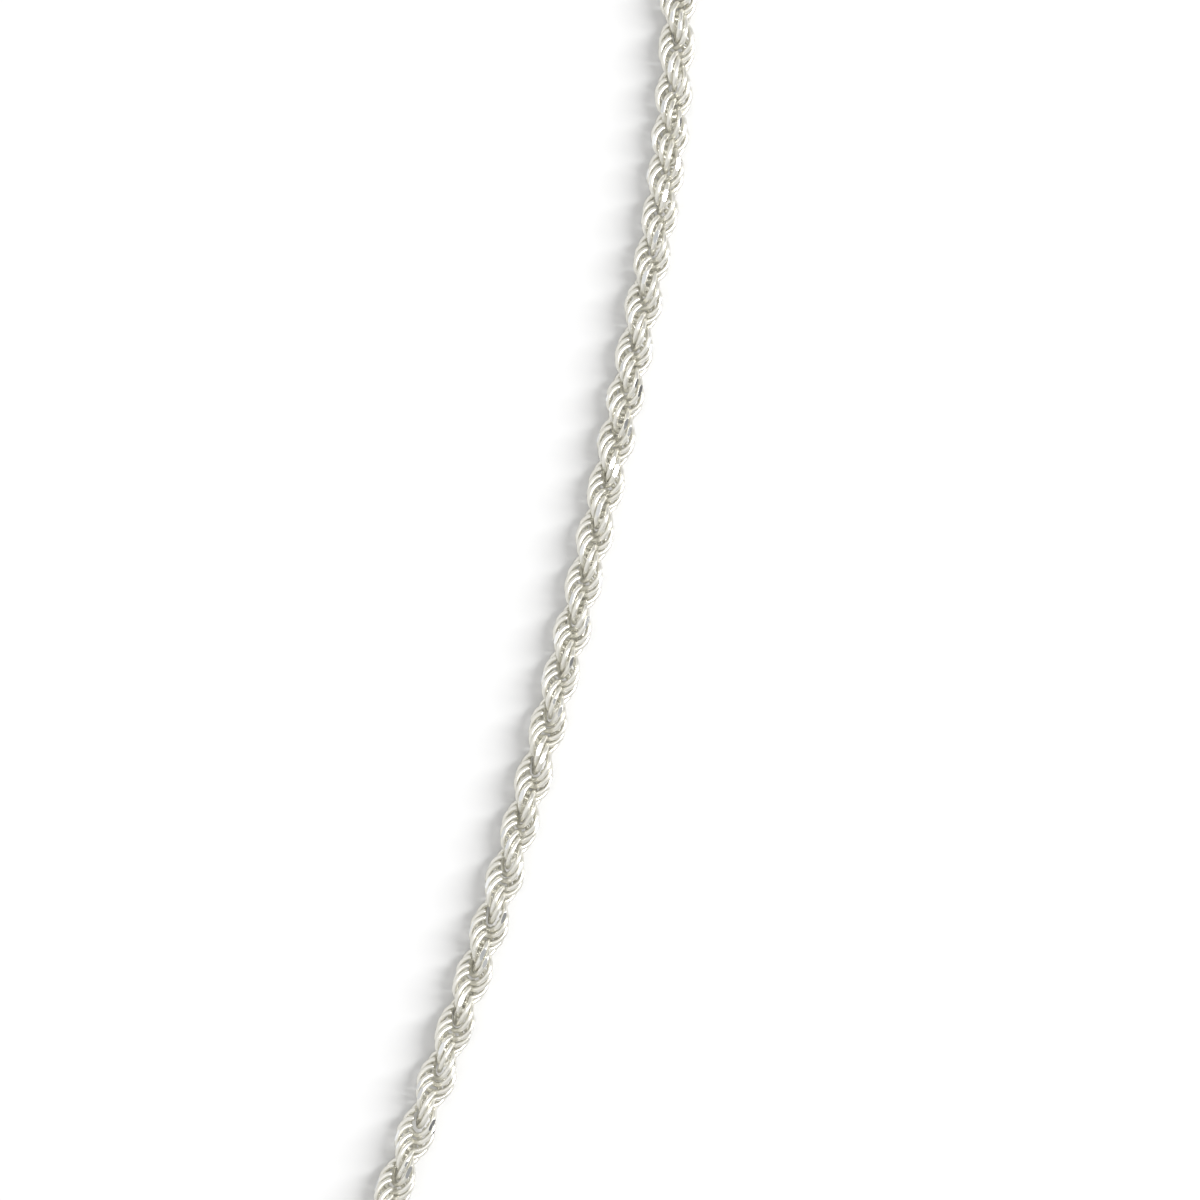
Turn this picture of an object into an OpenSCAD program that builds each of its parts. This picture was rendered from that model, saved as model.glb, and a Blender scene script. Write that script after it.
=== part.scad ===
// Rope chain necklace with cupped ends and a ring clasp, laid flat in a loop.
// Millimetres. +Z is up, the surface is z = 0, and the clasp is at the +Y end.

/* [Rope chain] */
// Width of the twisted rope
chain_w = 2.2; // [1.6:0.1:2.6]

/* [End cups] */
// Wall round the end of the rope
cup_wall = 0.28; // [0.2:0.02:0.5]
// Length of rope inside the cup
cup_grip = 3.4; // [2.5:0.1:5]
// Thickness of the cup's closed end
cup_floor = 0.9; // [0.6:0.1:1.2]
// Mean radius of the eye soldered to the cup
eye_r = 1.3; // [1.2:0.05:1.5]
// Wire diameter of that eye
eye_wire = 0.7; // [0.5:0.05:0.8]

/* [Ring clasp] */
// Mean radius of the clasp's ring
ring_r = 2.6; // [2.3:0.1:3]
// Diameter of the ring's tube
ring_tube = 1.3; // [1:0.1:1.4]
// Diameter of the sliding gate in the ring
gate_wire = 0.84; // [0.6:0.02:0.9]
// Part of the ring that the gate closes, in degrees
gate_angle = 56; // [40:1:80]
// Length of the thumb stud, from the ring's surface
stud_l = 0.7; // [0.4:0.05:1.2]
// Diameter of the thumb stud
stud_d = 0.66; // [0.4:0.02:0.9]
// Mean radius of the clasp's own eye
clasp_eye_r = 1.15; // [1:0.05:1.3]
// Wire diameter of the clasp's eye and of its neck
clasp_eye_wire = 0.64; // [0.5:0.02:0.8]

/* [Fits] */
// Free space round the rope in its cup
rope_gap = 0.08; // [0.05:0.01:0.15]
// Free space past the cut end of the rope
end_gap = 0.2; // [0.1:0.05:0.4]
// Free space between eyes and rings that hang in each other
link_gap = 0.1; // [0.08:0.01:0.15]
// Depth that soldered pieces run into each other
solder = 0.25; // [0.15:0.01:0.3]

/* [Hidden] */

// Sides of the rope's solid, which has one side flat on the surface
CHAIN_SIDES = 8;
// Most rope widths between two rings of the rope's solid
RING_STEP = 3;
// Degrees of ring that the gate runs on inside the tube, at each end
GATE_HIDDEN = 6;
// Direction of the gate's middle and of the thumb stud, from +X
GATE_AT = 235;
STUD_AT = 279;
ROUND = 48;

// Right half of the chain's route, from the clasp to the middle of the front: [x, y, lift].
// Lift is 1 at the height of the end cups and 0 flat on the surface.
ROUTE_HALF = [
    [7.5, 51.8, 1],
    [12.0, 51.8, 1],
    [20.0, 51.8, 0.4],
    [32.7, 50.3, 0],
    [44.6, 45.7, 0],
    [54.9, 38.3, 0],
    [62.9, 28.4, 0],
    [68.1, 16.7, 0],
    [70.4, 4.2, 0],
    [70.0, -8.6, 0],
    [67.9, -21.2, 0],
    [65.2, -33.7, 0],
    [62.1, -46.0, 0],
    [58.4, -58.3, 0],
    [54.0, -70.3, 0],
    [48.9, -82.0, 0],
    [42.5, -93.0, 0],
    [34.3, -102.8, 0],
    [24.3, -110.7, 0],
    [12.6, -115.8, 0],
    [0, -117.5, 0]
];

// The eyes stand on the surface, and the clasp hangs in them, low and towards its own middle
HANG_ANGLE = 45;
cup_z = eye_r + eye_wire / 2;
ring_play = eye_r - eye_wire / 2 - link_gap - ring_tube / 2;
clasp_z = cup_z - ring_play * sin(HANG_ANGLE);

// Corner radius of the rope's solid, and the bore and outside of the cup that fits over it
chain_corner_r = chain_w / 2 / cos(180 / CHAIN_SIDES);
cup_bore_r = chain_corner_r + rope_gap;
cup_r = cup_bore_r + cup_wall;

// Places along X, measured from the middle of the clasp towards either end
chain_end_x = ROUTE_HALF[0][0];
cup_back_x = chain_end_x - end_gap - cup_floor;
cup_mouth_x = chain_end_x + cup_grip;
eye_x = cup_back_x - eye_r - eye_wire / 2 + solder;
// The ring hangs in the left eye, and the clasp's own eye in the right one
ring_x = -eye_x + ring_play * cos(HANG_ANGLE) + ring_r;
clasp_eye_play = eye_r - eye_wire / 2 - link_gap - clasp_eye_wire / 2;
clasp_eye_x = eye_x - sqrt(pow(clasp_eye_play, 2) - pow(cup_z - clasp_z, 2)) - clasp_eye_r;

// The loop is centred on the origin from front to back
clasp_y = ROUTE_HALF[0][1];
back_y = clasp_y + ring_r + ring_tube / 2;
front_y = ROUTE_HALF[len(ROUTE_HALF) - 1][1] - chain_w / 2;
shift_y = -(back_y + front_y) / 2;

// Height of the rope's middle for a lift between 0 and 1
function route_z(lift) = chain_w / 2 + lift * (cup_z - chain_w / 2);
function placed(p, side) = [side * p[0], p[1] + shift_y, route_z(p[2])];

// The whole route: down the right half, then up the left half as its mirror image
LAST = len(ROUTE_HALF) - 1;
route = concat(
    [for (i = [0:LAST]) placed(ROUTE_HALF[i], 1)],
    [for (i = [LAST - 1:-1:0]) placed(ROUTE_HALF[i], -1)]
);

// Point at share t between route points i and i + 1, on a smooth curve through them all
function route_at(i) =
    i < 0 ? 2 * route[0] - route[1] :
    i >= len(route) ? 2 * route[len(route) - 1] - route[len(route) - 2] :
    route[i];
function on_curve(a, b, c, d, t) =
    0.5 * (2 * b + (c - a) * t + (2 * a - 5 * b + 4 * c - d) * t * t
        + (3 * b - a - 3 * c + d) * t * t * t);
// A rope that comes down to the surface doesn't dip into it
function laid(p) = [p[0], p[1], max(p[2], route_z(0))];
function rings_in(i) = ceil(norm(route[i + 1] - route[i]) / (RING_STEP * chain_w));
centres = concat(
    [
        for (i = [0:len(route) - 2])
            let (n = rings_in(i))
                for (k = [0:n - 1])
                    laid(on_curve(route_at(i - 1), route_at(i), route_at(i + 1), route_at(i + 2), k / n))
    ],
    [route[len(route) - 1]]
);
COUNT = len(centres);

// Way along the rope at ring i, halfway between the stretches before and after it
function unit(v) = v / norm(v);
function heading(i) =
    i == 0 ? [1, 0, 0] :
    i == COUNT - 1 ? [1, 0, 0] :
    unit(unit(centres[i] - centres[i - 1]) + unit(centres[i + 1] - centres[i]));

// Corners of ring i, in a frame whose second direction is as upright as the rope allows
function ring_points(i) =
    let (
        along = heading(i),
        side = unit(cross(along, [0, 0, 1])),
        up = cross(side, along)
    )
    [
        for (k = [0:CHAIN_SIDES - 1])
            let (a = (k + 0.5) * 360 / CHAIN_SIDES)
                centres[i] + chain_corner_r * (cos(a) * side + sin(a) * up)
    ];

// Number of corner k on ring i
function corner(i, k) = i * CHAIN_SIDES + k % CHAIN_SIDES;

module rope_chain() {
    skin = [
        for (i = [0:COUNT - 2])
            for (k = [0:CHAIN_SIDES - 1])
                for (half = [0, 1])
                    half == 0 ?
                        [corner(i, k), corner(i + 1, k + 1), corner(i + 1, k)] :
                        [corner(i, k), corner(i, k + 1), corner(i + 1, k + 1)]
    ];
    first_end = [for (k = [CHAIN_SIDES - 1:-1:0]) corner(0, k)];
    last_end = [for (k = [0:CHAIN_SIDES - 1]) corner(COUNT - 1, k)];
    color([0.86, 0.85, 0.83])
        polyhedron(
            points = [for (i = [0:COUNT - 1]) each ring_points(i)],
            faces = concat(skin, [first_end], [last_end]),
            convexity = 10
        );
}

// Ring of round wire, lying in the XY plane
module wire_ring(mean_r, wire, angle = 360) {
    rotate_extrude(angle = angle, $fn = 2 * ROUND)
        translate([mean_r, 0])
            circle(d = wire, $fn = ROUND);
}

// Cup at +X that opens away from the clasp, with its eye standing upright
module end_cup() {
    translate([0, clasp_y + shift_y, cup_z]) {
        difference() {
            translate([cup_back_x, 0, 0])
                rotate([0, 90, 0])
                    cylinder(r = cup_r, h = cup_mouth_x - cup_back_x, $fn = ROUND);
            translate([cup_back_x + cup_floor, 0, 0])
                rotate([0, 90, 0])
                    cylinder(r = cup_bore_r, h = cup_mouth_x - cup_back_x, $fn = ROUND);
        }
        translate([eye_x, 0, 0])
            rotate([90, 0, 0])
                wire_ring(eye_r, eye_wire);
    }
}

module end_cup_right() {
    color([0.84, 0.84, 0.83]) end_cup();
}

module end_cup_left() {
    color([0.84, 0.84, 0.83]) mirror([1, 0, 0]) end_cup();
}

// Closed ring with a thinner gate and a thumb stud, and a small eye on a short neck
module clasp() {
    neck_from = ring_x + ring_r + ring_tube / 2 - solder;
    neck_to = clasp_eye_x - clasp_eye_r;
    color([0.82, 0.82, 0.81])
        translate([0, clasp_y + shift_y, clasp_z]) {
            translate([ring_x, 0, 0]) {
                rotate(GATE_AT + gate_angle / 2)
                    wire_ring(ring_r, ring_tube, 360 - gate_angle);
                rotate(GATE_AT - gate_angle / 2 - GATE_HIDDEN)
                    wire_ring(ring_r, gate_wire, gate_angle + 2 * GATE_HIDDEN);
                rotate(STUD_AT)
                    translate([ring_r, 0, 0])
                        rotate([0, 90, 0])
                            cylinder(d = stud_d, h = ring_tube / 2 + stud_l, $fn = ROUND);
            }
            translate([clasp_eye_x, 0, 0])
                wire_ring(clasp_eye_r, clasp_eye_wire);
            translate([neck_from, 0, 0])
                rotate([0, 90, 0])
                    cylinder(d = clasp_eye_wire, h = neck_to - neck_from, $fn = ROUND);
        }
}

rope_chain();
end_cup_left();
end_cup_right();
clasp();
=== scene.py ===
# Looks for the rope chain necklace: open wire rings looped into a twisted rope, cupped ends and a clasp.
# Metres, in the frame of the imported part: +Z is up, the surface is z = 0, the clasp is at the +Y end.
import math

import bmesh
import bpy
import numpy as np
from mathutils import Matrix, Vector


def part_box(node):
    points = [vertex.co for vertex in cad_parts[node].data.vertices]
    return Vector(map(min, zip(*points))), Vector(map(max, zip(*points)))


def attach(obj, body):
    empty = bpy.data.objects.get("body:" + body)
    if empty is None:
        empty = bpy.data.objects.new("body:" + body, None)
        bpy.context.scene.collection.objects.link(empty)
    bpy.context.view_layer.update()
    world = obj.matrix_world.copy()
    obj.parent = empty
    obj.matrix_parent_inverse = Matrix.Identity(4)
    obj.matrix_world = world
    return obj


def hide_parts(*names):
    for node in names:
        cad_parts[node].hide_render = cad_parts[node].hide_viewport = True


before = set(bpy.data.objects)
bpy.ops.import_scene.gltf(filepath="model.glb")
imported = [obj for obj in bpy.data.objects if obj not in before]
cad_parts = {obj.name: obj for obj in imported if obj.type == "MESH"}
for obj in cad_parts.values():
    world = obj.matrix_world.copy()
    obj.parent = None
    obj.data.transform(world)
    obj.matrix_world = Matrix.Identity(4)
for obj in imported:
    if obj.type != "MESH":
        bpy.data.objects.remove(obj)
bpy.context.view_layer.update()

# The rope's wire and rings. The rings are open, and each one holds the next few.
ROPE_WIDTH = 0.0022
WIRE = ROPE_WIDTH / 6.8
RING_R = 3.06 * WIRE
# Width of a ring's opening, and how far each end is sprung sideways out of the ring's plane: below 0, the
# first end along the ring's axis and the last one back
RING_GAP = 2.7 * WIRE
RING_SPRING = -0.7 * WIRE
RING_STEPS = 38
WIRE_SIDES = 9
# The sawn ends are a little rounded: their width, of the wire's, and the length of the rounding
END_WIDTH = 0.7
END_LENGTH = 0.13 * WIRE
# The rings are soldered in pairs: how much closer the second one is, of their spacing, and how much less
# it turns
PAIR_CLOSER = 0.12
PAIR_TURN = math.radians(5)

# Diamond cuts: flats on the rope's outside, at this distance from its axis
CUT_AT = 0.488 * ROPE_WIDTH
CUT_DIRECTIONS = 4
CUT_TOLERANCE = 0.0001 * WIRE
# Number of differently cut rings to pick from
CUT_SHAPES = 24
# Length of rope in which the flats wander once round it. One faces up at the photograph's top.
CUT_DRIFT = 0.0616

# Half turns of the twist: tight at the top of the photograph, looser at its bottom, even elsewhere
HALF_TURN_TOP = 0.00249
HALF_TURN_BOTTOM = 0.00342
HALF_TURN_HIDDEN = 0.0029
# Length of rope past the photograph's edges in which the twist turns even
TWIST_BLEND = 0.03
TWIST_AT_TOP = math.radians(59)
# The twist is uneven: it runs ahead and back in waves along the rope. One fades away from the photograph's
# top: its angle, length and start there, and the distance in which it fades. The others are faint and steady.
FADING_WAVE = (math.radians(41), 0.017, math.radians(138))
WAVE_FADES = 0.0135
STEADY_WAVE = math.radians(3)
STEADY_WAVE_LENGTHS = (0.0083, 0.0127, 0.0191)
# Length of a half turn and the number of rings in it, for a tight and a loose twist
TIGHT_TWIST = (0.0023, 5.55)
LOOSE_TWIST = (0.0032, 7.5)

# What moves a ring from its even place: along the rope, round it, and leaning two ways
RING_SLACK = 0.04 * WIRE
RING_TURN_SLACK = math.radians(1.5)
RING_LEAN = math.radians(2)
SEED = 7

# Right half of the chain's route, from the clasp to the middle of the front: (x, y, lift).
# Lift is 1 at the height of the end cups and 0 flat on the surface.
ROUTE_HALF = [
    (0.0075, 0.0518, 1),
    (0.0120, 0.0518, 1),
    (0.0200, 0.0518, 0.4),
    (0.0327, 0.0503, 0),
    (0.0446, 0.0457, 0),
    (0.0549, 0.0383, 0),
    (0.0629, 0.0284, 0),
    (0.0681, 0.0167, 0),
    (0.0704, 0.0042, 0),
    (0.0700, -0.0086, 0),
    (0.0679, -0.0212, 0),
    (0.0652, -0.0337, 0),
    (0.0621, -0.0460, 0),
    (0.0584, -0.0583, 0),
    (0.0540, -0.0703, 0),
    (0.0489, -0.0820, 0),
    (0.0425, -0.0930, 0),
    (0.0343, -0.1028, 0),
    (0.0243, -0.1107, 0),
    (0.0126, -0.1158, 0),
    (0, -0.1175, 0),
]
# Points of the smooth curve between two of the route, and of the twist along the whole rope
CURVE_STEPS = 200
TWIST_STEPS = 20001

# The photograph's frame on the surface, and the camera's height above the rope
VIEW_CENTRE = (0.0658, -0.0046)
VIEW_SIZE = 0.07273
CAMERA_HEIGHT = 0.6
CAMERA_NEAREST = 0.01
SENSOR = 36.0

# Light of the room by the height of a direction, from the horizon, 0, to straight overhead, 1
ROOM_BRIGHTNESS = [(0, 0.65), (0.3, 0.75), (0.5, 0.95), (0.8, 1.0), (0.93, 1.05)]
ROOM_STRENGTH = 0.65
# The room is this share brighter at the left of the photograph than in its middle, and as much dimmer
# at the right
ROOM_SIDES = 0.6
# A low softbox on the right. Its length is along the rope, its height across.
SOFTBOX_AWAY = 0.7
SOFTBOX_ELEVATION = math.radians(45)
SOFTBOX_LENGTH = 0.08
SOFTBOX_HEIGHT = 0.66
SOFTBOX_POWER = 5.3
# A small panel straight above, beyond the camera
PANEL_HEIGHT = 1.1
PANEL_SIZE = 0.24
PANEL_POWER = 0.36

# Finishes: two colours that lie in patches, wear that takes the roughness from one value to another, and a
# fine grain with the height of its relief. Patches, wear and grain are in waves a metre.
WIRE_FINISH = {
    "colours": [(0.925, 0.91, 0.845), (0.90, 0.885, 0.82)],
    "patches": 260,
    "wear": 2200,
    "roughness": (0.25, 0.40),
    "grain": 9000,
    "relief": 0.000006,
}
CUT_FINISH = {
    "colours": [(0.90, 0.905, 0.895), (0.86, 0.875, 0.88)],
    "patches": 300,
    "wear": 3000,
    "roughness": (0.05, 0.12),
    "grain": 12000,
    "relief": 0.000001,
    "detail": 1.0,
    "stretch": (1, 0.05, 1),
}
FITTING_FINISH = {
    "colours": [(0.84, 0.835, 0.805), (0.79, 0.785, 0.755)],
    "patches": 180,
    "wear": 900,
    "roughness": (0.10, 0.24),
    "grain": 5000,
    "relief": 0.000004,
    "detail": 2.0,
    "stretch": (1, 0.08, 1),
}
# Values of the noise between which patches and wear go from none to full
PATCH_RANGE = (0.35, 0.65)
WEAR_RANGE = (0.3, 0.7)
# Darker colour that single rings lean to, by up to a share, and a brighter colour painted deep in the rope:
# painted light that lifts the shade between the wires
RING_TONE = (0.82, 0.80, 0.715)
RING_TONE_SHARE = 0.5
DEEP_PAINTED_LIGHT = (0.935, 0.92, 0.845)
# Depths, in rope radii, over which the wire turns to that painted light
PAINTED_LIGHT_DEPTHS = (0.15, 0.8)
WIRE_METALLIC = 0.88
WIRE_EDGE_TINT = (0.45, 0.44, 0.41, 1)

FLOOR_REACH = 3
FLOOR_COLOURS = [(0.795, 0.795, 0.795), (0.815, 0.815, 0.815)]
FLOOR_PATCHES = 12
FLOOR_ROUGHNESS = 0.9
FLOOR_SPECULAR = 0.2

# Names of the rope's pieces, from the left cup round the front to the right cup
ROPE_PIECES = [
    "rope_back_left", "rope_left", "rope_front", "rope_right", "rope_right_shoulder", "rope_back_right"
]


def whole_route():
    """The route's points from the left cup round to the right one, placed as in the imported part."""
    low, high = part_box("end_cup_right")
    half = np.array(ROUTE_HALF, float)
    shift = (low.y + high.y) / 2 - half[0, 1]
    laid, lifted = ROPE_WIDTH / 2, (low.z + high.z) / 2
    right = np.column_stack([half[:, 0], half[:, 1] + shift, laid + half[:, 2] * (lifted - laid)])
    left = right * [-1, 1, 1]
    return np.vstack([left, right[-2::-1]])


def smooth_curve(points):
    """Close points on the smooth curve through the route's points, which doesn't dip into the surface."""
    ends = np.vstack([2 * points[0] - points[1], points, 2 * points[-1] - points[-2]])
    t = np.arange(CURVE_STEPS)[:, None] / CURVE_STEPS
    stretches = []
    for a, b, c, d in zip(ends, ends[1:], ends[2:], ends[3:]):
        linear = (c - a) * t
        square = (2 * a - 5 * b + 4 * c - d) * t**2
        cube = (3 * b - a - 3 * c + d) * t**3
        stretches.append(0.5 * (2 * b + linear + square + cube))
    curve = np.vstack([*stretches, points[-1:]])
    curve[:, 2] = np.maximum(curve[:, 2], ROPE_WIDTH / 2)
    return curve


class Rope:
    """The rope's middle line, by distance from its end in the left cup."""

    def __init__(self, curve):
        self.curve = curve
        self.at = np.concatenate([[0], np.cumsum(np.linalg.norm(np.diff(curve, axis=0), axis=1))])
        self.length = self.at[-1]
        self.slope = np.gradient(curve, self.at, axis=0)

    def where(self, s):
        """Points, and the directions across, up and along the rope, at distances s."""
        point = np.column_stack([np.interp(s, self.at, column) for column in self.curve.T])
        along = np.column_stack([np.interp(s, self.at, column) for column in self.slope.T])
        along /= np.linalg.norm(along, axis=1)[:, None]
        across = np.cross([0, 0, 1], along)
        across /= np.linalg.norm(across, axis=1)[:, None]
        return point, across, np.cross(along, across), along

    def crossing(self, y):
        """Distance at which the rope's right side passes a height y of the photograph."""
        right = self.curve[:, 0] > VIEW_CENTRE[0] / 2
        order = np.argsort(self.curve[right, 1])
        return float(np.interp(y, self.curve[right, 1][order], self.at[right][order]))


def half_turns(rope, s):
    """Length of a half turn of the twist at distances s. Its square changes evenly along a stretch."""
    bottom = rope.crossing(VIEW_CENTRE[1] - VIEW_SIZE / 2)
    top = rope.crossing(VIEW_CENTRE[1] + VIEW_SIZE / 2)
    places = [bottom - TWIST_BLEND, bottom, top, top + TWIST_BLEND]
    lengths = np.array([HALF_TURN_HIDDEN, HALF_TURN_BOTTOM, HALF_TURN_TOP, HALF_TURN_HIDDEN])
    return np.sqrt(np.interp(s, places, lengths**2))


def twist_along(rope):
    """Close distances along the rope, and the turn of the twist at each."""
    s = np.linspace(0, rope.length, TWIST_STEPS)
    rate = math.pi / half_turns(rope, s)
    turns = -np.concatenate([[0], np.cumsum((rate[1:] + rate[:-1]) / 2 * np.diff(s))])
    top = rope.crossing(VIEW_CENTRE[1] + VIEW_SIZE / 2)
    turns += TWIST_AT_TOP - np.interp(top, s, turns)
    down = top - s
    angle, length, start = FADING_WAVE
    turns += angle * np.exp(-abs(down) / WAVE_FADES) * np.sin(2 * math.pi * down / length + start)
    for length in STEADY_WAVE_LENGTHS:
        turns += STEADY_WAVE * np.sin(2 * math.pi * down / length)
    return s, turns


def ring_places(rope):
    """Distance along the rope and turn about it of every ring."""
    s, twist = twist_along(rope)
    lengths = math.pi / abs(np.gradient(twist, s))
    spacing = lengths / np.interp(lengths, *zip(TIGHT_TWIST, LOOSE_TWIST))
    margin = RING_R + WIRE / 2
    at = [margin]
    while at[-1] < rope.length - margin:
        at.append(at[-1] + float(np.interp(at[-1], s, spacing)))
    at = np.array(at[:-1])
    turns = np.interp(at, s, twist)
    second = np.arange(len(at)) % 2 == 1
    at[1:] -= PAIR_CLOSER * np.diff(at) * second[1:]
    return at, turns + PAIR_TURN * second


def ring_mesh():
    """One ring of round wire in a plane with the rope's axis, z. It opens at the top, its ends sprung apart."""
    axis = np.array([1.0, 0, 0])
    half_gap = RING_GAP / 2 / RING_R
    rounding = END_LENGTH / RING_R
    sweeps = np.linspace(half_gap + rounding, 2 * math.pi - half_gap - rounding, RING_STEPS + 1)
    sections = [(sweep, WIRE / 2) for sweep in sweeps]
    sections.insert(0, (half_gap, END_WIDTH * WIRE / 2))
    sections.append((2 * math.pi - half_gap, END_WIDTH * WIRE / 2))
    rows = []
    bm = bmesh.new()
    for sweep, radius in sections:
        out = np.array([0, -math.sin(sweep), math.cos(sweep)])
        middle = RING_R * out + RING_SPRING * (sweep / math.pi - 1) * axis
        row = []
        for side in range(WIRE_SIDES):
            a = 2 * math.pi * side / WIRE_SIDES
            row.append(bm.verts.new(middle + radius * (math.cos(a) * out + math.sin(a) * axis)))
        rows.append(row)
    for near, far in zip(rows, rows[1:]):
        for side in range(WIRE_SIDES):
            bm.faces.new((near[side], near[side - 1], far[side - 1], far[side]))
    bm.faces.new(rows[0])
    bm.faces.new(rows[-1][::-1])
    bmesh.ops.recalc_face_normals(bm, faces=bm.faces)
    for face in bm.faces:
        face.smooth = len(face.verts) == 4
    return bm


def cut_ring(turn):
    """Mesh arrays of a ring whose crests are cut by the flats, as they pass it when it is turned that far."""
    bm = ring_mesh()
    for direction in range(CUT_DIRECTIONS):
        angle = 2 * math.pi * direction / CUT_DIRECTIONS - turn
        normal = Vector((math.cos(angle), math.sin(angle), 0))
        everything = bm.verts[:] + bm.edges[:] + bm.faces[:]
        cut = bmesh.ops.bisect_plane(
            bm, geom=everything, dist=CUT_TOLERANCE, plane_co=normal * CUT_AT, plane_no=normal, clear_outer=True
        )
        rim = [item for item in cut["geom_cut"] if isinstance(item, bmesh.types.BMEdge)]
        if rim:
            bmesh.ops.edgeloop_fill(bm, edges=rim, mat_nr=1, use_smooth=False)
    mesh = bpy.data.meshes.new("ring")
    bm.to_mesh(mesh)
    bm.free()
    arrays = {
        "co": read_array(mesh.vertices, "co", float, 3),
        "corner": read_array(mesh.loops, "vertex_index", int),
        "start": read_array(mesh.polygons, "loop_start", int),
        "material": read_array(mesh.polygons, "material_index", int),
        "smooth": read_array(mesh.polygons, "use_smooth", bool),
    }
    bpy.data.meshes.remove(mesh)
    return arrays


def read_array(items, name, kind, width=1):
    """One value of every item of a mesh as an array."""
    values = np.empty(len(items) * width, kind)
    items.foreach_get(name, values)
    return values.reshape(-1, width) if width > 1 else values


def leaning(first, second):
    """Turn by small angles about a ring's own two directions across the rope."""
    return np.array([[1, 0, -second], [0, 1, first], [second, -first, 1]])


def joined_rings(name, shapes, picks, point, across, up, along, turns, leans, tones):
    """One piece of rope: the mesh of its rings, with depth in the rope and the ring's tone on each vertex."""
    co, corner, start, material, smooth, inside, tone = [], [], [], [], [], [], []
    vertices = corners = 0
    for k, pick in enumerate(picks):
        shape = shapes[pick]
        cos, sin = math.cos(turns[k]), math.sin(turns[k])
        first = cos * across[k] + sin * up[k]
        second = cos * up[k] - sin * across[k]
        co.append(point[k] + shape["co"] @ leaning(*leans[k]) @ np.array([first, second, along[k]]))
        corner.append(shape["corner"] + vertices)
        start.append(shape["start"] + corners)
        material.append(shape["material"])
        smooth.append(shape["smooth"])
        # Depth in the rope on each vertex: the wire is painted brighter by it, painted light deep in the rope
        radius = np.hypot(shape["co"][:, 0], shape["co"][:, 1])
        inside.append(1 - radius / (ROPE_WIDTH / 2))
        tone.append(np.full(len(radius), tones[k]))
        vertices += len(shape["co"])
        corners += len(shape["corner"])
    mesh = bpy.data.meshes.new(name)
    mesh.vertices.add(vertices)
    mesh.vertices.foreach_set("co", np.vstack(co).ravel())
    mesh.loops.add(corners)
    mesh.loops.foreach_set("vertex_index", np.concatenate(corner))
    starts = np.concatenate(start)
    mesh.polygons.add(len(starts))
    mesh.polygons.foreach_set("loop_start", starts)
    mesh.polygons.foreach_set("material_index", np.concatenate(material))
    mesh.polygons.foreach_set("use_smooth", np.concatenate(smooth))
    for label, values in (("inside", inside), ("tone", tone)):
        attribute = mesh.attributes.new(label, "FLOAT", "POINT")
        attribute.data.foreach_set("value", np.concatenate(values).astype(np.float32))
    mesh.update(calc_edges=True)
    piece = bpy.data.objects.new(name, mesh)
    bpy.context.scene.collection.objects.link(piece)
    return piece


def rope_pieces(wire_material, cut_material):
    """The whole rope, as joined pieces of about the same number of rings."""
    random = np.random.default_rng(SEED)
    rope = Rope(smooth_curve(whole_route()))
    at, turns = ring_places(rope)
    period = 2 * math.pi / CUT_DIRECTIONS
    shapes = [cut_ring(period * k / CUT_SHAPES) for k in range(CUT_SHAPES)]
    top = rope.crossing(VIEW_CENTRE[1] + VIEW_SIZE / 2)
    flats = math.pi / 2 + 2 * math.pi * (at - top) / CUT_DRIFT
    picks = np.round(((turns - flats) % period) / period * CUT_SHAPES).astype(int) % CUT_SHAPES
    tones = random.uniform(0, 1, len(at))
    point, across, up, along = rope.where(at + random.uniform(-RING_SLACK, RING_SLACK, len(at)))
    turns = turns + random.uniform(-RING_TURN_SLACK, RING_TURN_SLACK, len(at))
    leans = random.uniform(-RING_LEAN, RING_LEAN, (len(at), 2))
    groups = np.array_split(np.arange(len(at)), len(ROPE_PIECES))
    for name, group in zip(ROPE_PIECES, groups):
        placed = [values[group] for values in (point, across, up, along, turns, leans, tones)]
        piece = joined_rings(name, shapes, picks[group], *placed)
        piece.data.materials.append(wire_material)
        piece.data.materials.append(cut_material)
        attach(piece, "root")
        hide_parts("rope_chain")


def new_material(name):
    """A material with nodes, and its tree and shader."""
    material = bpy.data.materials.new(name)
    material.use_nodes = True
    tree = material.node_tree
    return material, tree, tree.nodes["Principled BSDF"]


def noise(tree, scale, detail=3.0, stretch=(1, 1, 1)):
    """Noise on the object's own coordinates, in waves a metre."""
    place = tree.nodes.new("ShaderNodeTexCoord")
    mapping = tree.nodes.new("ShaderNodeMapping")
    mapping.inputs["Scale"].default_value = stretch
    texture = tree.nodes.new("ShaderNodeTexNoise")
    texture.inputs["Scale"].default_value = scale
    texture.inputs["Detail"].default_value = detail
    tree.links.new(place.outputs["Object"], mapping.inputs["Vector"])
    tree.links.new(mapping.outputs["Vector"], texture.inputs["Vector"])
    return texture.outputs["Fac"]


def ranged(tree, value, low, high, to_low, to_high):
    """A value carried over from one range to another."""
    node = tree.nodes.new("ShaderNodeMapRange")
    node.inputs["From Min"].default_value = low
    node.inputs["From Max"].default_value = high
    node.inputs["To Min"].default_value = to_low
    node.inputs["To Max"].default_value = to_high
    tree.links.new(value, node.inputs["Value"])
    return node.outputs["Result"]


def blended(tree, share, first, second):
    """A colour between two, each given as a colour or a socket."""
    node = tree.nodes.new("ShaderNodeMix")
    node.data_type = "RGBA"
    tree.links.new(share, node.inputs["Factor"])
    for socket, colour in ((node.inputs[6], first), (node.inputs[7], second)):
        if isinstance(colour, tuple):
            socket.default_value = (*colour, 1)
        else:
            tree.links.new(colour, socket)
    return node.outputs[2]


def attribute(tree, name):
    """A value that the mesh keeps for each vertex."""
    node = tree.nodes.new("ShaderNodeAttribute")
    node.attribute_name = name
    return node.outputs["Fac"]


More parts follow.
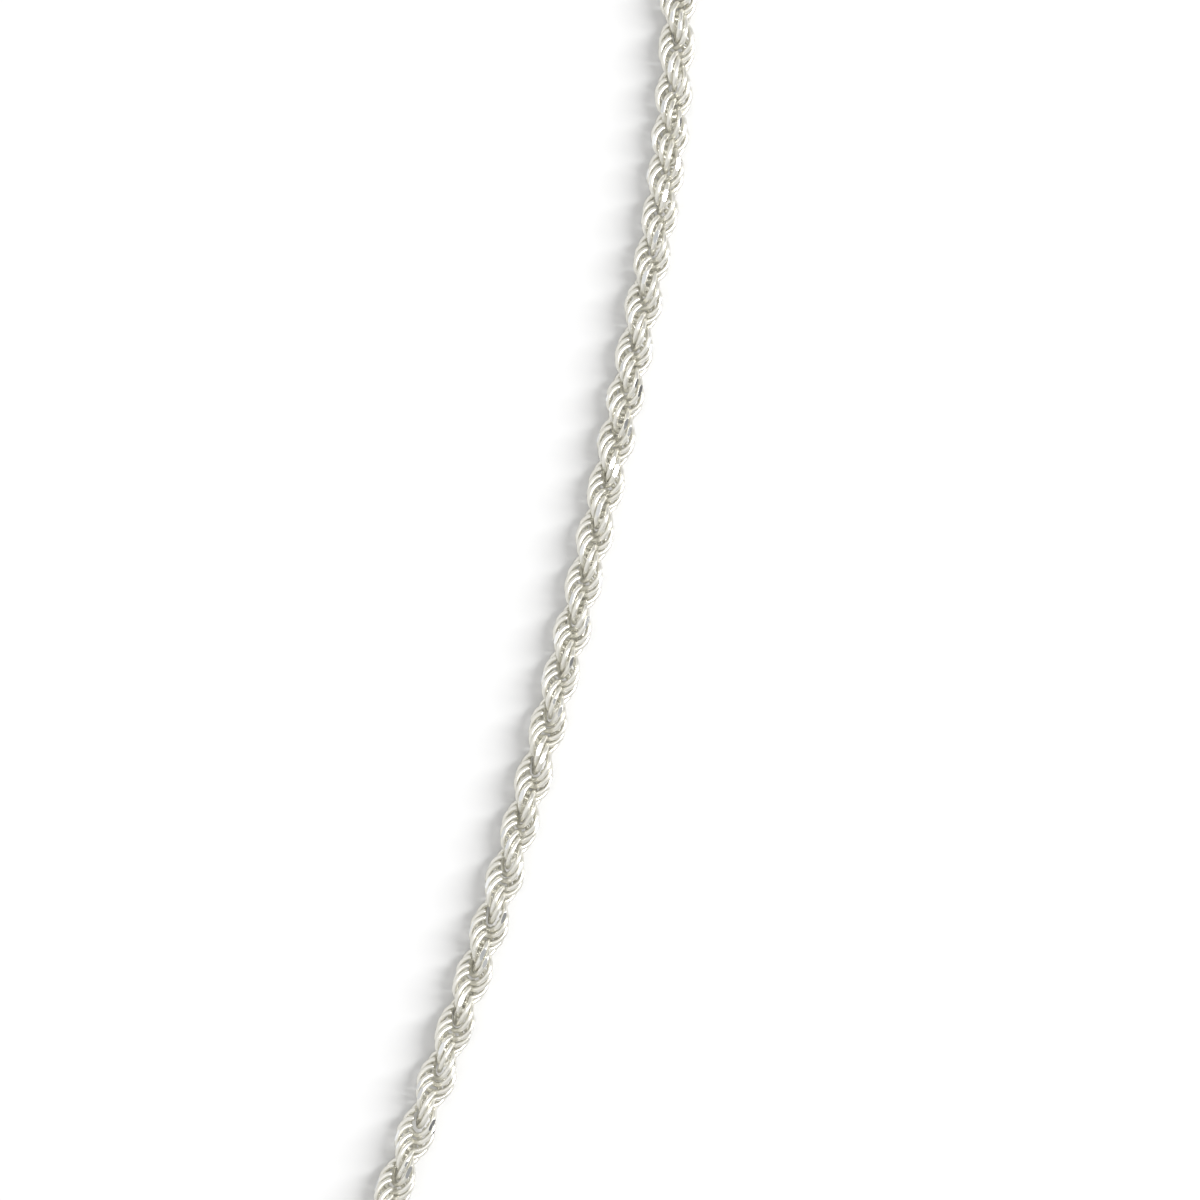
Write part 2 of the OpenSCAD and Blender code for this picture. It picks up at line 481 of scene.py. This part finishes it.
def silver(name, colours, patches, wear, roughness, grain, relief, **grain_kind):
    """A silver without its colour yet: material, tree, shader and the socket of its patchy colour."""
    material, tree, shader = new_material(name)
    colour = blended(tree, ranged(tree, noise(tree, patches), *PATCH_RANGE, 0, 1), *colours)
    worn = ranged(tree, noise(tree, wear), *WEAR_RANGE, *roughness)
    tree.links.new(worn, shader.inputs["Roughness"])
    bump = tree.nodes.new("ShaderNodeBump")
    bump.inputs["Distance"].default_value = relief
    bump.inputs["Strength"].default_value = 1
    tree.links.new(noise(tree, grain, **grain_kind), bump.inputs["Height"])
    tree.links.new(bump.outputs["Normal"], shader.inputs["Normal"])
    shader.inputs["Metallic"].default_value = 1
    return material, tree, shader, colour


def wire_silver():
    """Bright drawn silver wire. Single rings lean to a darker tone, and deep in the rope all are painted alike
    and brighter: painted light that lifts the shade between the wires.
    """
    material, tree, shader, colour = silver("rope_wire_silver", **WIRE_FINISH)
    lean = ranged(tree, attribute(tree, "tone"), 0, 1, 0, RING_TONE_SHARE)
    # Painted light: the deeper in the rope, the brighter the wire is painted, where the wires shade each other
    depth = ranged(tree, attribute(tree, "inside"), *PAINTED_LIGHT_DEPTHS, 0, 1)
    toned = blended(tree, lean, colour, RING_TONE)
    tree.links.new(blended(tree, depth, toned, DEEP_PAINTED_LIGHT), shader.inputs["Base Color"])
    shader.inputs["Metallic"].default_value = WIRE_METALLIC
    shader.inputs["Specular Tint"].default_value = WIRE_EDGE_TINT
    return material


def cut_silver():
    """Mirror flats left by the diamond tool, with its faint lines."""
    material, tree, shader, colour = silver("rope_cut_silver", **CUT_FINISH)
    tree.links.new(colour, shader.inputs["Base Color"])
    return material


def fitting_silver():
    """Polished cast silver of the cups and clasp, with wipe marks and fine scratches."""
    material, tree, shader, colour = silver("fitting_polished_silver", **FITTING_FINISH)
    tree.links.new(colour, shader.inputs["Base Color"])
    return material


def dress_fittings():
    """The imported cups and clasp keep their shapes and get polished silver."""
    silver = fitting_silver()
    for name in ("end_cup_left", "end_cup_right", "clasp"):
        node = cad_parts[name]
        node.data.materials.clear()
        node.data.materials.append(silver)


def make_floor():
    """A plain white studio surface."""
    bm = bmesh.new()
    bmesh.ops.create_grid(bm, x_segments=1, y_segments=1, size=FLOOR_REACH)
    mesh = bpy.data.meshes.new("floor")
    bm.to_mesh(mesh)
    bm.free()
    floor = bpy.data.objects.new("floor", mesh)
    bpy.context.scene.collection.objects.link(floor)
    material, tree, shader = new_material("white_studio_surface")
    shader.inputs["Metallic"].default_value = 0
    shader.inputs["Roughness"].default_value = FLOOR_ROUGHNESS
    shader.inputs["Specular IOR Level"].default_value = FLOOR_SPECULAR
    colour = blended(tree, noise(tree, FLOOR_PATCHES), *FLOOR_COLOURS)
    tree.links.new(colour, shader.inputs["Base Color"])
    mesh.materials.append(material)


def make_world():
    """A pale room: dimmest at the horizon, brightest overhead, and brighter on one side than on the other."""
    world = bpy.data.worlds.new("studio")
    world.use_nodes = True
    bpy.context.scene.world = world
    tree = world.node_tree
    place = tree.nodes.new("ShaderNodeTexCoord")
    split = tree.nodes.new("ShaderNodeSeparateXYZ")
    ramp = tree.nodes.new("ShaderNodeValToRGB")
    while len(ramp.color_ramp.elements) < len(ROOM_BRIGHTNESS):
        ramp.color_ramp.elements.new(0.5)
    for element, (height, brightness) in zip(ramp.color_ramp.elements, ROOM_BRIGHTNESS):
        element.position = height
        element.color = (brightness, brightness, brightness, 1)
    tree.links.new(place.outputs["Generated"], split.inputs[0])
    tree.links.new(split.outputs["Z"], ramp.inputs[0])
    tree.links.new(ramp.outputs[0], tree.nodes["Background"].inputs[0])
    sides = tree.nodes.new("ShaderNodeMath")
    sides.operation = "MULTIPLY_ADD"
    sides.inputs[1].default_value = -ROOM_SIDES * ROOM_STRENGTH
    sides.inputs[2].default_value = ROOM_STRENGTH
    tree.links.new(split.outputs["X"], sides.inputs[0])
    tree.links.new(sides.outputs[0], tree.nodes["Background"].inputs[1])


def make_softbox(name, elevation, away, length, height, power):
    """A soft light that faces the photographed stretch of rope, from an elevation on its right."""
    light = bpy.data.lights.new(name, "AREA")
    light.shape = "RECTANGLE"
    light.size = length
    light.size_y = height
    light.energy = power
    lamp = bpy.data.objects.new(name, light)
    out = Vector((math.cos(elevation), 0, math.sin(elevation)))
    lamp.location = Vector((*VIEW_CENTRE, 0)) + away * out
    lamp.rotation_euler = (-out).to_track_quat("-Z", "Y").to_euler()
    lamp.visible_camera = False
    bpy.context.scene.collection.objects.link(lamp)


def make_camera():
    """A long lens straight above the photographed stretch, with its top edge towards the clasp."""
    data = bpy.data.cameras.new("camera")
    data.sensor_width = SENSOR
    data.lens = SENSOR * CAMERA_HEIGHT / VIEW_SIZE
    data.clip_start = CAMERA_NEAREST
    camera = bpy.data.objects.new("camera", data)
    camera.location = (*VIEW_CENTRE, CAMERA_HEIGHT + ROPE_WIDTH / 2)
    bpy.context.scene.collection.objects.link(camera)
    bpy.context.scene.camera = camera


rope_pieces(wire_silver(), cut_silver())
dress_fittings()
make_floor()
make_world()
make_softbox(
    "softbox_right", SOFTBOX_ELEVATION, SOFTBOX_AWAY, SOFTBOX_LENGTH, SOFTBOX_HEIGHT, SOFTBOX_POWER
)
make_softbox("panel_above", math.pi / 2, PANEL_HEIGHT, PANEL_SIZE, PANEL_SIZE, PANEL_POWER)
make_camera()
bpy.context.scene.view_settings.view_transform = "Standard"
